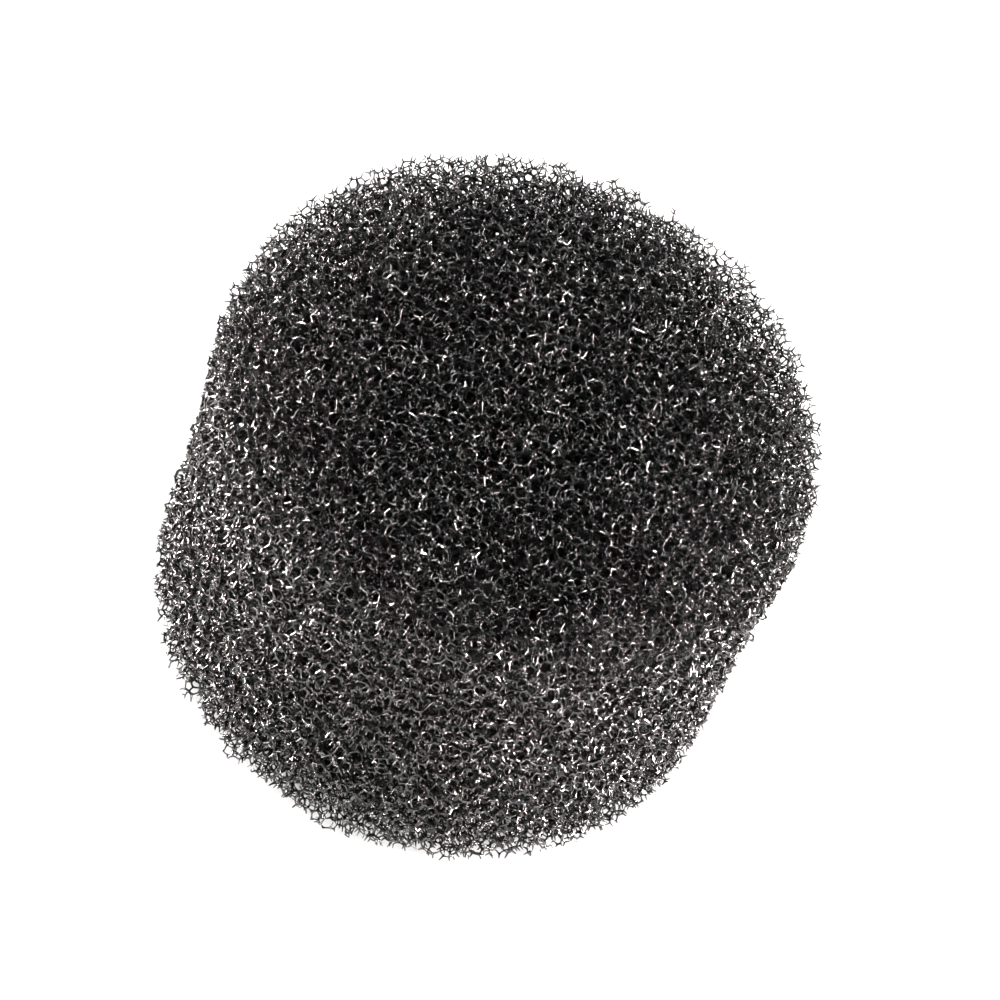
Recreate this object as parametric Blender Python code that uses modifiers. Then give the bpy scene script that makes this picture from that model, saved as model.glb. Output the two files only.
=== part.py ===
"""Foam cylinder of an aquarium sponge filter, modelled in metres with +Z up.

The part is one block of open-cell polyurethane foam. It stands on its bored end: the filter's
intake pipe pushes into a blind bore there, and the other end is closed, so that all of the water
has to cross the foam. The frame's origin is the centre of the bored end face.
"""

import math

import bmesh
import bpy

# Driving dimensions
BODY_DIAMETER = 0.0500
BODY_HEIGHT = 0.0335
RIM_RADIUS = 0.0012  # foam drags under the knife, which leaves both rims a little round
BORE_DIAMETER = 0.0160
BORE_DEPTH = 0.0220

# Facets
TURN_STEPS = 96
RIM_STEPS = 4

# The bore's cutter starts this far below the end face, so that it cuts a clean mouth
CUTTER_OVERSHOOT = 0.0050

FOAM_COLOUR = (0.022, 0.021, 0.021, 1.0)
FOAM_ROUGHNESS = 0.62


def clear_scene():
    for old in list(bpy.data.objects):
        bpy.data.objects.remove(old, do_unlink=True)


def new_collection(name):
    collection = bpy.data.collections.new(name)
    bpy.context.scene.collection.children.link(collection)
    return collection


def foam_material():
    material = bpy.data.materials.new("charcoal_foam")
    material.use_nodes = True
    shader = material.node_tree.nodes["Principled BSDF"]
    shader.inputs["Base Color"].default_value = FOAM_COLOUR
    shader.inputs["Roughness"].default_value = FOAM_ROUGHNESS
    shader.inputs["Metallic"].default_value = 0.0
    return material


def rim_arc(centre_radius, centre_height, start_angle):
    """A quarter turn of the rim's round, clockwise from start_angle, as (radius, height) points."""
    points = []
    for step in range(RIM_STEPS + 1):
        angle = start_angle - math.pi / 2 * step / RIM_STEPS
        points.append(
            (
                centre_radius + RIM_RADIUS * math.cos(angle),
                centre_height + RIM_RADIUS * math.sin(angle),
            )
        )
    return points


def body_profile():
    """Half of the cylinder's section: out along the top, down the side and back along the base."""
    corner_radius = BODY_DIAMETER / 2 - RIM_RADIUS
    profile = [(0.0, BODY_HEIGHT)]
    profile += rim_arc(corner_radius, BODY_HEIGHT - RIM_RADIUS, math.pi / 2)
    profile += rim_arc(corner_radius, RIM_RADIUS, 0.0)
    profile += [(0.0, 0.0)]
    return profile


def turned_body(collection):
    """The plain cylinder: its half section turned about the Z axis."""
    mesh = bpy.data.meshes.new("foam_body")
    section = bmesh.new()
    points = [section.verts.new((radius, 0.0, height)) for radius, height in body_profile()]
    for upper, lower in zip(points, points[1:]):
        section.edges.new((upper, lower))
    section.to_mesh(mesh)
    section.free()

    body = bpy.data.objects.new("foam_body", mesh)
    collection.objects.link(body)
    turn = body.modifiers.new("turn", "SCREW")
    turn.axis = "Z"
    turn.angle = 2 * math.pi
    turn.steps = TURN_STEPS
    turn.render_steps = TURN_STEPS
    turn.use_merge_vertices = True
    turn.merge_threshold = 0.00001
    return body


def bore_cutter(collection):
    """A round bar the size of the pipe's bore, standing up into the body from below."""
    length = BORE_DEPTH + CUTTER_OVERSHOOT
    mesh = bpy.data.meshes.new("bore_cutter")
    bar = bmesh.new()
    bmesh.ops.create_cone(
        bar,
        cap_ends=True,
        segments=TURN_STEPS // 2,
        radius1=BORE_DIAMETER / 2,
        radius2=BORE_DIAMETER / 2,
        depth=length,
    )
    bar.to_mesh(mesh)
    bar.free()

    cutter = bpy.data.objects.new("bore_cutter", mesh)
    collection.objects.link(cutter)
    cutter.location.z = BORE_DEPTH - length / 2
    cutter.hide_render = True
    cutter.display_type = "WIRE"
    return cutter


def foam_body(parts, cutters):
    """The foam block: a turned cylinder with the blind bore cut up into its base."""
    body = turned_body(parts)
    bore = body.modifiers.new("bore", "BOOLEAN")
    bore.operation = "DIFFERENCE"
    bore.solver = "EXACT"
    bore.object = bore_cutter(cutters)
    body.data.materials.append(foam_material())
    return body


clear_scene()
foam_body(new_collection("sponge_filter"), new_collection("cutters"))
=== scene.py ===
import itertools
import math

import bpy
import numpy as np
from mathutils import Matrix, Vector


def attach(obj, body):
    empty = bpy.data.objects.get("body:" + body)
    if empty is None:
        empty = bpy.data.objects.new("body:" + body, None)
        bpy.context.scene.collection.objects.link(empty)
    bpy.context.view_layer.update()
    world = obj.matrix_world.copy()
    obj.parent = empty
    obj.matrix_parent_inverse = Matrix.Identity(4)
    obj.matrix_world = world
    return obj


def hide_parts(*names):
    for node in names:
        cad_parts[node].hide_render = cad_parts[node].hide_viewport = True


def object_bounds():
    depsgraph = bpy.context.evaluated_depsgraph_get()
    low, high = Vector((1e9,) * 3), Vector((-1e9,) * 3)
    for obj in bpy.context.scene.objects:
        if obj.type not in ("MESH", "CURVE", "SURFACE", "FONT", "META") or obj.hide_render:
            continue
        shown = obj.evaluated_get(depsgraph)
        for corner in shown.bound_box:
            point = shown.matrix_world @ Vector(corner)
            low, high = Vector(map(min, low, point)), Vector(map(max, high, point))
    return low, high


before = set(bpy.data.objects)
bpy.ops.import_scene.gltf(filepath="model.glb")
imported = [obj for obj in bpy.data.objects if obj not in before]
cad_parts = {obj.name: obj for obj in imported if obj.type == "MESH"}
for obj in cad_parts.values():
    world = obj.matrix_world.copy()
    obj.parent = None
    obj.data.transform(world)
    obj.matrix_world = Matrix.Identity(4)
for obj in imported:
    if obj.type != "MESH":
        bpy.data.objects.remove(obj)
cad_low, cad_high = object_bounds()
bpy.ops.object.select_all(action="DESELECT")
scene = bpy.context.scene


# ---- Foam: the bubbles -----------------------------------------------------------------------
# Filter foam is blown as liquid polyurethane. The rising bubbles jostle until they touch all
# round, and where four of them meet the walls drain into a joint. Bubbles are packed here in a
# cube whose opposite faces fit, so that the block can be filled with turned copies of it.
BUBBLE = 0.00116  # mean distance between neighbouring bubbles of 30 ppi foam, metres
CUBE = 8.0  # the cube's side, in bubbles
BUBBLE_RADIUS = 0.545  # a little over half a spacing, so that neighbours press flat on each other
SIZE_SPREAD = 0.13  # how much the bubbles differ in size
SMALLEST, LARGEST = 0.65, 1.35  # bubbles, as shares of the mean one
JOSTLES = 90
GIVE = 0.35  # how much of an overlap one jostle takes away
FAR_AWAY = 99.0  # keeps a bubble from being its own neighbour
LONGEST_REACH = 3.0  # no joint lies further from its bubbles, in spacings
TENSION = 0.12  # how hard the walls pull the struts even
PULLS = 4


def packed_bubbles():
    """Centres and radii of soft bubbles that have pushed each other apart, in bubble spacings."""
    chance = np.random.default_rng(4)
    count = round(CUBE**3)
    centres = chance.random((count, 3)) * CUBE
    radii = BUBBLE_RADIUS * np.clip(chance.normal(1.0, SIZE_SPREAD, count), SMALLEST, LARGEST)
    touching = radii[:, None] + radii[None]
    for _ in range(JOSTLES):
        apart = centres[:, None] - centres[None]
        apart -= CUBE * np.round(apart / CUBE)
        distance = np.sqrt((apart**2).sum(-1))
        np.fill_diagonal(distance, FAR_AWAY)
        push = np.clip(touching - distance, 0, None) / distance
        centres = (centres + GIVE * (apart * push[..., None]).sum(1)) % CUBE
    return centres, radii


def joints_between(centres, radii):
    """Each point where four bubbles meet: the bubbles' numbers in order, and its place."""
    nearest = 30
    apart = centres[None] - centres[:, None]
    apart -= CUBE * np.round(apart / CUBE)
    distance = (apart**2).sum(-1)
    np.fill_diagonal(distance, FAR_AWAY)
    close = np.argsort(distance, 1)[:, :nearest]
    trios = np.array(list(itertools.combinations(range(nearest), 3)))
    one, two, three = trios.T
    numbers, places = [], []
    for bubble, others in enumerate(close):
        way = apart[bubble, others]
        wall = ((way**2).sum(1) + radii[bubble] ** 2 - radii[others] ** 2) / 2
        across = np.cross(way[two], way[three])
        corner = (
            wall[one, None] * across
            + wall[two, None] * np.cross(way[three], way[one])
            + wall[three, None] * np.cross(way[one], way[two])
        ) / (way[one] * across).sum(1)[:, None]
        real = np.flatnonzero((corner**2).sum(1) < LONGEST_REACH**2)
        real = real[(corner[real] @ way.T <= wall + 1e-7).all(1)]
        own = np.full((len(real), 1), bubble)
        numbers.append(np.sort(np.concatenate([own, others[trios[real]]], 1), 1))
        places.append((centres[bubble] + corner[real]) % CUBE)
    numbers, first = np.unique(np.concatenate(numbers), axis=0, return_index=True)
    return numbers, np.concatenate(places)[first]


# A joint's four bubbles are numbered 0 to 3. Its strut 0 runs between bubbles 1, 2 and 3, and so
# on. The joint has six corners, one on each wall between two of its bubbles.
BESIDE = np.array([[1, 2, 3], [0, 2, 3], [0, 1, 3], [0, 1, 2]])
WALLS = list(itertools.combinations(range(4), 2))
STRUT_CORNERS = np.array([[WALLS.index(w) for w in itertools.combinations(o, 2)] for o in BESIDE])
BUBBLE_CORNERS = np.array([[i for i, w in enumerate(WALLS) if b in w] for b in range(4)])


def strut_ends(numbers):
    """Pairs the struts of different joints that run between the same three bubbles."""
    trios = numbers[:, BESIDE].reshape(-1, 3)
    order = np.lexsort(trios.T)
    twins = np.flatnonzero((trios[order][1:] == trios[order][:-1]).all(1))
    return np.divmod(order[twins], 4), np.divmod(order[twins + 1], 4)


def foam_cube():
    """The joints of one cube: for each strut its far joint, that joint's strut and the cube that
    it lies in, its direction and length, and the joint's six corner directions."""
    numbers, places = joints_between(*packed_bubbles())
    (from_joint, from_strut), (to_joint, to_strut) = strut_ends(numbers)

    def reach():
        way = places[to_joint] - places[from_joint]
        over = -np.round(way / CUBE).astype(int)
        return way + CUBE * over, over

    for _ in range(PULLS):
        way, over = reach()
        pull = np.zeros_like(places)
        np.add.at(pull, from_joint, way)
        np.add.at(pull, to_joint, -way)
        places = places + TENSION * pull
    way, over = reach()

    shape = (len(places), 4)
    cube = {
        "place": places,
        "joint": np.zeros(shape, int),
        "strut": np.zeros(shape, int),
        "over": np.zeros((*shape, 3), int),
        "way": np.zeros((*shape, 3)),
    }
    onward = (from_joint, from_strut, to_joint, to_strut, 1)
    backward = (to_joint, to_strut, from_joint, from_strut, -1)
    for here, strut, there, far_strut, sign in (onward, backward):
        cube["joint"][here, strut] = there
        cube["strut"][here, strut] = far_strut
        cube["over"][here, strut] = sign * over
        cube["way"][here, strut] = sign * way
    cube["length"] = np.linalg.norm(cube["way"], axis=2)
    cube["way"] /= cube["length"][..., None]

    corners = np.zeros((len(places), 6, 3))
    for wall, pair in enumerate(WALLS):
        first, second = [s for s in range(4) if s not in pair]
        along = cube["way"][:, first] + cube["way"][:, second]
        corners[:, wall] = along / np.linalg.norm(along, axis=1)[:, None]
    cube["corner"] = corners
    return cube


# ---- Foam: the cut block ---------------------------------------------------------------------
# The block is punched out of a slab as a round plug, and a blind hole for the intake pipe is
# drilled up into one end. The blade tears the foam a little, so rims are soft and the cut wanders.
radius = (cad_high.x - cad_low.x) / 2
height = cad_high.z - cad_low.z
middle = Vector((0, 0, cad_low.z + height / 2))
RIM_SOFTNESS = 0.0018  # radius of the rims, metres
FRAYED = 0.0040  # how far in from a rim the blade frays the foam
BASE_FRAY = 0.4  # the bored end's fraying, as a share of the closed end's
PULLED_IN = 0.0006  # foam bulges under the punch, so the side is drawn in at half height
BORE_RADIUS = 0.0080
BORE_DEPTH = 0.0220


def below_side(place):
    """Depth below the drawn-in side, in metres."""
    from_half = (place[:, 2] - middle.z) / (height / 2)
    return radius - PULLED_IN * (1 - from_half**2) - np.hypot(place[:, 0], place[:, 1])


def fraying(place):
    """How frayed the foam is: 1 on the closed end's rim, where the punch comes out, and 0 away
    from the rims."""
    above_half = place[:, 2] - middle.z
    below_end = height / 2 - np.abs(above_half)
    near_rim = np.clip(1 - np.maximum(below_side(place), below_end) / FRAYED, 0, 1)
    return near_rim * np.where(above_half > 0, 1, BASE_FRAY)


def below_cut(place):
    """Depth below the block's outer surface and below the bore's wall, in metres."""
    out = np.hypot(place[:, 0], place[:, 1])
    beyond_side = RIM_SOFTNESS - below_side(place)
    beyond_end = np.abs(place[:, 2] - middle.z) - (height / 2 - RIM_SOFTNESS)
    outside = np.hypot(np.maximum(beyond_side, 0), np.maximum(beyond_end, 0))
    outer = RIM_SOFTNESS - outside - np.minimum(np.maximum(beyond_side, beyond_end), 0)
    above = place[:, 2] - cad_low.z - BORE_DEPTH
    around = out - BORE_RADIUS
    over_bore = np.where(around < 0, above, np.hypot(np.maximum(around, 0), above))
    return outer, np.where(above > 0, over_bore, around)


TEAR = 0.38  # how unevenly the blade tears joints out, in bubbles
RIM_TEAR = 1.1  # how much deeper it tears them out of a frayed rim
RIM_THINNING = 0.36  # how much thinner the struts of a frayed rim are stretched


def fill(cube, bubble, turn, wanted, chance):
    """The joints of copies of the cube that lie where wanted(place) is above zero: their number
    in the cube, place, depth, and for each strut the joint it leads to, or -1 past a cut."""
    reach = math.ceil(math.hypot(radius, height / 2) / (bubble * CUBE)) + 1
    steps = range(-reach, reach)
    copies = np.array(list(itertools.product(steps, repeat=3)))
    count = len(cube["place"])
    place = (cube["place"] + CUBE * copies[:, None]).reshape(-1, 3) * bubble @ turn.T
    place += np.array(middle)
    inside = wanted(place)
    kept = inside > chance.uniform(-TEAR, TEAR + RIM_TEAR * fraying(place)) * bubble
    for _ in range(4):  # the last round leaves no joint hanging by a single strut
        numbered = np.full(len(place), -1)
        numbered[kept] = np.arange(kept.sum())
        here = np.flatnonzero(kept)
        copy, joint = np.divmod(here, count)
        far_cube = copies[copy][:, None] + cube["over"][joint] + reach
        real = ((far_cube >= 0) & (far_cube < len(steps))).all(-1)
        far_copy = (far_cube[..., 0] * len(steps) + far_cube[..., 1]) * len(steps) + far_cube[..., 2]
        far = numbered[np.where(real, far_copy * count + cube["joint"][joint], 0)]
        far = np.where(real, far, -1)
        kept[here[(far >= 0).sum(1) < 2]] = False
    return joint, place[here], inside[here], far


THINNEST, THICKEST = 0.82, 1.2  # joints, as shares of the mean one
WAIST = 0.72  # a strut's thickness at its middle, as a share of its ends
BOW = 0.022  # how far a strut's middle strays from straight, in bubbles
TIP = 0.5  # a torn strut's thickness at its tip, as a share of its root
SNAPS_SHORT, SNAPS_LONG = -0.15, 0.35  # how far a torn strut ends from the cut, in struts
SHORTEST_STUB, LONGEST_STUB = 0.12, 0.9  # what is left of a torn strut, in struts


def grow(cube, bubble, thickness, turned, wanted, waist, wedge_of, seed):
    """Fills a region with foam. Returns corners, triangles and each triangle's wedge.
    wanted(place) gives how far inside its cut each place is, in metres. waist(place) is true
    where struts have a thin middle, and wedge_of(place) is the wedge that a joint belongs to."""
    chance = np.random.default_rng(seed)
    turn = np.array(Matrix.Rotation(turned[0], 3, "X") @ Matrix.Rotation(turned[1], 3, "Y")
                    @ Matrix.Rotation(turned[2], 3, "Z"))
    joint, place, inside, far = fill(cube, bubble, turn, wanted, chance)
    wedge = wedge_of(place)
    everyone = np.arange(len(place))
    stretched = 1 - RIM_THINNING * fraying(place)
    size = thickness * bubble * chance.uniform(THINNEST, THICKEST, len(place)) * stretched
    corner = cube["corner"][joint] @ turn.T * size[:, None, None]
    points = [(place[:, None] + corner).reshape(-1, 3)]
    triangles, wedges = [], []
    total = 6 * len(place)

    def add(faces, of):
        """Triangles that belong to the wedges of these joints."""
        triangles.append(faces)
        wedges.append(wedge[of])

    def wrap(ring, next_ring, of):
        """The three sides of a strut, from one ring of its corners to the next."""
        for side in range(3):
            after = (side + 1) % 3
            add(np.stack([ring[:, side], ring[:, after], next_ring[:, after]], 1), of)
            add(np.stack([ring[:, side], next_ring[:, after], next_ring[:, side]], 1), of)

    def faces_back(corners, outward):
        """True where a joint's triangle of these corners has its normal against outward."""
        first, second, third = (corner[:, i] for i in corners)
        return (np.cross(second - first, third - first) * outward).sum(1) < 0

    def joint_faces(corners, outward):
        """A triangle on each joint, facing outward, and where its corners had to be turned."""
        back = faces_back(corners, outward)
        faces = 6 * everyone[:, None] + corners
        return np.where(back[:, None], faces[:, ::-1], faces), back

    for corners in BUBBLE_CORNERS:
        add(joint_faces(corners, corner[:, corners].mean(1))[0], everyone)

    for strut, corners in enumerate(STRUT_CORNERS):
        way = cube["way"][joint, strut] @ turn.T
        near, back = joint_faces(corners, way)
        whole = np.flatnonzero(everyone < far[:, strut])
        ahead = far[whole, strut]
        ring = near[whole]
        far_ring = 6 * ahead[:, None] + STRUT_CORNERS[cube["strut"][joint[whole], strut]]
        far_ring = np.where(back[whole, None], far_ring[:, ::-1], far_ring)
        thin = waist(place[whole])
        wrap(ring[~thin], far_ring[~thin], whole[~thin])
        if thin.any():
            belt = (points[0][ring[thin]] + points[0][far_ring[thin]]) / 2
            core = belt.mean(1, keepdims=True)
            bow = chance.normal(0, BOW * bubble, core.shape)
            points.append((core + bow + WAIST * (belt - core)).reshape(-1, 3))
            belt = total + np.arange(belt.size // 3).reshape(-1, 3)
            total += belt.size
            wrap(ring[thin], belt, whole[thin])
            wrap(belt, far_ring[thin], whole[thin])
        # A strut that leaves its wedge is closed where it meets the next joint, on both sides.
        crossing = wedge[whole] != wedge[ahead]
        add(far_ring[crossing], whole[crossing])
        add(far_ring[crossing][:, ::-1], ahead[crossing])

        # A strut that the blade cut tapers to a blunt tip.
        cut = np.flatnonzero(far[:, strut] < 0)
        length = cube["length"][joint[cut], strut] * bubble
        gone = wanted(place[cut] + way[cut] * length[:, None])
        share = inside[cut] / np.maximum(inside[cut] - gone, 1e-9)
        share += chance.uniform(SNAPS_SHORT, SNAPS_LONG, len(cut))
        share = np.clip(share, SHORTEST_STUB, LONGEST_STUB)
        tip = place[cut] + way[cut] * (length * share)[:, None]
        ring = points[0][near[cut]] - place[cut][:, None]
        ring = ring - (ring * way[cut, None]).sum(-1, keepdims=True) * way[cut, None]
        points.append((tip[:, None] + TIP * ring).reshape(-1, 3))
        end = total + np.arange(3 * len(cut)).reshape(-1, 3)
        total += end.size
        wrap(near[cut], end, cut)
        add(end, cut)
    return np.concatenate(points), np.concatenate(triangles), np.concatenate(wedges)


# The foam's finish: polyurethane dyed black through, shiny on its fresh cuts, with faded patches,
# a little dust and a gloss that changes from strut to strut.
foam = bpy.data.materials.new("charcoal_foam")
foam.use_nodes = True
nodes, links = foam.node_tree.nodes, foam.node_tree.links
shader = nodes["Principled BSDF"]
shader.inputs["Specular IOR Level"].default_value = 0.55
where = nodes.new("ShaderNodeTexCoord")


def noise(size, detail=2.0):
    """A noise whose blots are about size metres across."""
    node = nodes.new("ShaderNodeTexNoise")
    node.inputs["Scale"].default_value = 1 / size
    node.inputs["Detail"].default_value = detail
    links.new(where.outputs["Object"], node.inputs["Vector"])
    return node.outputs["Fac"]


def ramp(factor, *stops):
    """Colours between two stops, each a position and a colour, in the node tree at hand."""
    node = nodes.new("ShaderNodeValToRGB")
    elements = node.color_ramp.elements
    for element, (position, colour) in zip(elements, stops):
        element.position = position
        element.color = (*colour, 1)
    links.new(factor, node.inputs["Fac"])
    return node.outputs["Color"]


def blend(factor, low, high):
    node = nodes.new("ShaderNodeMixRGB")
    links.new(factor, node.inputs["Fac"])
    links.new(low, node.inputs["Color1"])
    links.new(high, node.inputs["Color2"])
    return node.outputs["Color"]


black = ramp(noise(0.0009), (0.35, (0.0062, 0.0060, 0.0058)), (0.65, (0.0118, 0.0114, 0.0111)))
dusty = ramp(noise(0.0016), (0.35, (0.015, 0.0144, 0.0141)), (0.65, (0.030, 0.0288, 0.0282)))
dust = ramp(noise(0.0030, 4.0), (0.60, (0, 0, 0)), (0.74, (1, 1, 1)))
links.new(blend(dust, black, dusty), shader.inputs["Base Color"])
gloss = ramp(noise(0.0011), (0.30, (0.15, 0.15, 0.15)), (0.70, (0.27, 0.27, 0.27)))
links.new(gloss, shader.inputs["Roughness"])
bump = nodes.new("ShaderNodeBump")
bump.inputs["Strength"].default_value = 0.3
bump.inputs["Distance"].default_value = 0.000004
links.new(noise(0.00009), bump.inputs["Height"])
links.new(bump.outputs["Normal"], shader.inputs["Normal"])


ROUNDED = 0.4  # how far the shading rounds a strut's flat sides


def corner_normals(mesh):
    normals = np.empty(3 * len(mesh.loops), np.float32)
    mesh.corner_normals.foreach_get("vector", normals)
    return normals.reshape(-1, 3)


def foam_piece(name, points, triangles):
    """A mesh of these triangles, in place of the plain block and on its body."""
    used, numbered = np.unique(triangles, return_inverse=True)
    mesh = bpy.data.meshes.new(name)
    mesh.from_pydata(points[used], [], numbered.reshape(-1, 3))
    mesh.shade_flat()
    normals = (1 - ROUNDED) * corner_normals(mesh)
    mesh.shade_smooth()
    normals += ROUNDED * corner_normals(mesh)
    normals /= np.linalg.norm(normals, axis=1, keepdims=True)
    mesh.normals_split_custom_set(normals)
    mesh.materials.append(foam)
    piece = bpy.data.objects.new(name, mesh)
    scene.collection.objects.link(piece)
    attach(piece, "root")
    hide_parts("foam_body")


# ---- Foam: the outer wedges ------------------------------------------------------------------
# The outer few bubbles of the block, on its side, its closed end, its bored end and the bore's
# wall. The real foam is one piece. It is split here into ten wedges like a cake's, which meet
# inside their struts, so that no mesh is too large.
SKIN = 2.2 * BUBBLE  # the wedges' depth below the side and the closed end
BASE_SKIN = 1.4 * BUBBLE  # and below the bored end
LINING = 1.2 * BUBBLE  # and behind the bore's wall
WEDGES = 10
STRUT_THICKNESS = 0.108  # a joint's size, in bubbles
TORN_LOOSE = 0.14 * BUBBLE  # how far joints torn loose stand proud of the cut
OUTERMOST = 0.8 * BUBBLE  # depth down to which struts have their thin middles
WANDER = 0.00010  # how far the blade strays from the true shape, metres
WANDER_LENGTH = 0.0071  # from one crest of the blade's path to the next, metres
SKIN_TURN = (0.61, 0.37, 0.83)  # askew, so that no layer of bubbles lies along a cut


def within_heart(place):
    """How far each place is inside the heart, where the foam can't be seen, in metres."""
    from_side = below_side(place) - SKIN
    from_top = cad_high.z - place[:, 2] - SKIN
    from_base = place[:, 2] - cad_low.z - BASE_SKIN
    lined = below_cut(place)[1] - LINING
    return np.minimum(np.minimum(from_side, from_top), np.minimum(from_base, lined))


def blade_wander(place):
    x, y, z = place.T * 2 * math.pi / WANDER_LENGTH
    return WANDER * (np.sin(x + 1.0) * np.cos(1.3 * y + 2.0) + np.sin(0.8 * z + 0.5 * x))


def in_skin(place):
    outer, bore = below_cut(place)
    cut = np.minimum(outer + TORN_LOOSE - blade_wander(place), bore)
    return np.minimum(cut, -within_heart(place))


def near_outside(place):
    return below_cut(place)[0] < OUTERMOST


def wedge_number(place):
    share = np.arctan2(place[:, 1], place[:, 0]) / (2 * math.pi) % 1.0
    return (share * WEDGES).astype(int)


cube = foam_cube()
points, triangles, wedges = grow(
    cube, BUBBLE, STRUT_THICKNESS, SKIN_TURN, in_skin, near_outside, wedge_number, seed=3
)
for wedge in range(WEDGES):
    foam_piece(f"foam_wedge_{wedge + 1}", points, triangles[wedges == wedge])

# ---- Foam: the heart -------------------------------------------------------------------------
# The middle of the same foam, which no light gets out of. Its bubbles are larger and its struts
# plain, because nobody can see them, and it fills the wedges out to the bore's lining.
HEART_BUBBLE = 2.5 * BUBBLE
HEART_THICKNESS = 0.125  # a joint's size, in the heart's own bubbles
HEART_TURN = (0.2, 0.9, 0.4)
INTO_SKIN = 0.3 * BUBBLE  # how far the heart reaches into the wedges


def in_heart(place):
    return within_heart(place) + INTO_SKIN


def nowhere(place):
    return np.zeros(len(place), bool)


def no_wedge(place):
    return np.zeros(len(place), int)


points, triangles, _ = grow(
    cube, HEART_BUBBLE, HEART_THICKNESS, HEART_TURN, in_heart, nowhere, no_wedge, seed=5
)
foam_piece("foam_heart", points, triangles)

# ---- Camera ----------------------------------------------------------------------------------
# It looks down at the front of the block from well above, held a little askew, from so far off
# that the block's sides hardly draw together.
ELEVATION, ROLL = math.radians(55.4), math.radians(23.2)
AIM_ASIDE = Vector((0.0620, 0.0180, 0))  # from the block's middle, in block radii
camera = bpy.data.objects.new("camera", bpy.data.cameras.new("camera"))
scene.collection.objects.link(camera)
scene.camera = camera
back = Vector((0, -math.cos(ELEVATION), math.sin(ELEVATION)))
distance = 12.0 * radius
facing = back.to_track_quat("Z", "Y") @ Matrix.Rotation(ROLL, 3, "Z").to_quaternion()
camera.rotation_mode = "QUATERNION"
camera.rotation_quaternion = facing
aim = middle + facing @ AIM_ASIDE * radius
camera.location = aim + back * distance
camera.data.sensor_width = 36
camera.data.lens = 130.5
camera.data.clip_start, camera.data.clip_end = 0.01, 20

# ---- Floor and light -------------------------------------------------------------------------
# A light table of white paper, which glows evenly but for the round patch that the block stands
# on, where the glow is left out as a painted shadow. It lies under a dark sky with a bright band
# round the horizon. Small high lamps put glints on the closed end, and low ones at both sides
# light the block's side and not its end.
bpy.ops.mesh.primitive_plane_add(size=1.4, location=(0, 0, cad_low.z))
floor = bpy.context.object
floor.name = "floor"
paper = bpy.data.materials.new("white_paper")
paper.use_nodes = True
paper_shader = paper.node_tree.nodes["Principled BSDF"]
paper_shader.inputs["Base Color"].default_value = (0.10, 0.10, 0.10, 1)
paper_shader.inputs["Roughness"].default_value = 0.9
nodes, links = paper.node_tree.nodes, paper.node_tree.links
where = nodes.new("ShaderNodeTexCoord")
from_middle = nodes.new("ShaderNodeVectorMath")
from_middle.operation = "LENGTH"
links.new(where.outputs["Object"], from_middle.inputs[0])
# The glow fades to nothing inside the block's rim, a painted shadow on the floor under the block.
glow_and_painted_shadow = ramp(from_middle.outputs["Value"], (0.85 * radius, (0, 0, 0)), (radius, (1, 1, 1)))
links.new(glow_and_painted_shadow, paper_shader.inputs["Emission Color"])
paper_shader.inputs["Emission Strength"].default_value = 1.25
floor.data.materials.append(paper)

studio = bpy.data.worlds.new("studio")
scene.world = studio
studio.use_nodes = True
nodes, links = studio.node_tree.nodes, studio.node_tree.links
direction = nodes.new("ShaderNodeTexCoord")
height_of = nodes.new("ShaderNodeSeparateXYZ")
links.new(direction.outputs["Generated"], height_of.inputs["Vector"])
sky = ramp(height_of.outputs["Z"], (0.12, (1, 1, 1)), (0.32, (0.015, 0.015, 0.015)))
links.new(sky, nodes["Background"].inputs["Color"])
nodes["Background"].inputs["Strength"].default_value = 2.0

LAMP_DISTANCE = 0.6


def softbox(name, bearing, elevation, size, power, colour=(1, 1, 1)):
    """A square lamp aimed at the block: its angles in degrees, size in metres, power in watts."""
    lamp = bpy.data.lights.new(name, "AREA")
    lamp.size = size
    lamp.energy = power
    lamp.color = colour
    box = bpy.data.objects.new(name, lamp)
    scene.collection.objects.link(box)
    b, e = math.radians(bearing), math.radians(elevation)
    way = Vector((math.sin(b) * math.cos(e), -math.cos(b) * math.cos(e), math.sin(e)))
    box.location = middle + way * LAMP_DISTANCE
    box.rotation_mode = "QUATERNION"
    box.rotation_quaternion = way.to_track_quat("Z", "Y")


WARM = (1.0, 0.89, 0.87)  # the low lamps' colour
softbox("high_left", -80, 35, 0.14, 3.1)
softbox("high_right", 85, 30, 0.14, 2.4)
softbox("high_back", 175, 55, 0.14, 1.9)
softbox("back_left", -110, 28, 0.14, 2.2)
softbox("back_right", 115, 28, 0.14, 2.2)
softbox("low_left", -95, 1.5, 0.20, 54.0, WARM)
softbox("low_right", 95, 1.5, 0.20, 66.0, WARM)
softbox("front_left", -48, 2, 0.10, 4.5, WARM)
softbox("front_right", 48, 2, 0.10, 4.5, WARM)
scene.view_settings.view_transform = "Standard"
